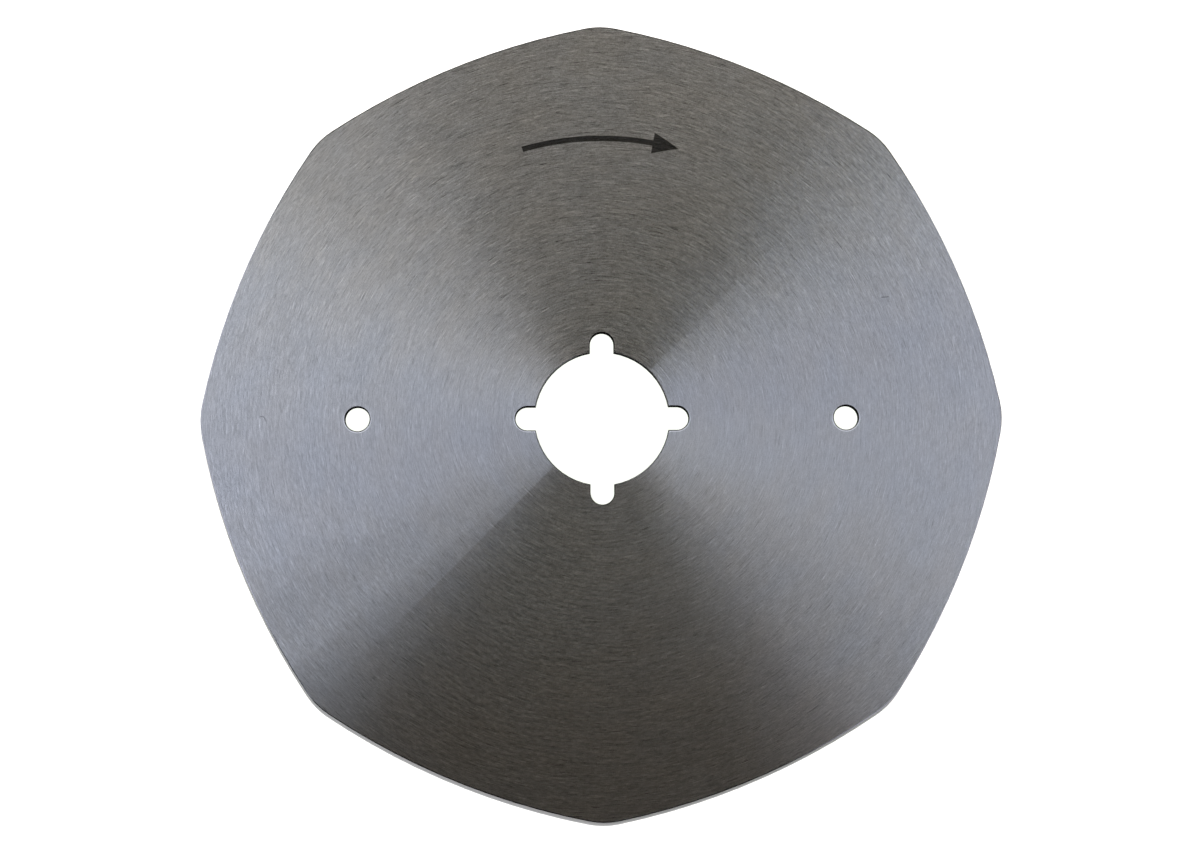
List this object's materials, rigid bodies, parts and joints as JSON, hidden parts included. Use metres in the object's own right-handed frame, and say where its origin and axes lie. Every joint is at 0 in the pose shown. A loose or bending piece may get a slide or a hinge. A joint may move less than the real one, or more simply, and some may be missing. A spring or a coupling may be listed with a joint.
{
  "type": "circular knife",
  "caption": "Flat rotary knife for a cloth cutting machine, with bowed sides, rounded corners, an underside edge bevel, a notched arbor bore and clamp pin holes.",
  "frame": {"origin": "on the arbor bore's axis, at the lower face that the knife lies on", "axes": "+Z along the bore axis, out of the plain upper face; +X along the line of the two pin holes; +Y in the sheet's plane, towards a corner"},
  "size_m": [0.125, 0.125, 0.0015],
  "materials": {
    "ground_steel": "surface ground in fine circles about the bore"
  },
  "bodies": {
    "root": {"knife_blade": "ground_steel"}
  },
  "joints": []
}
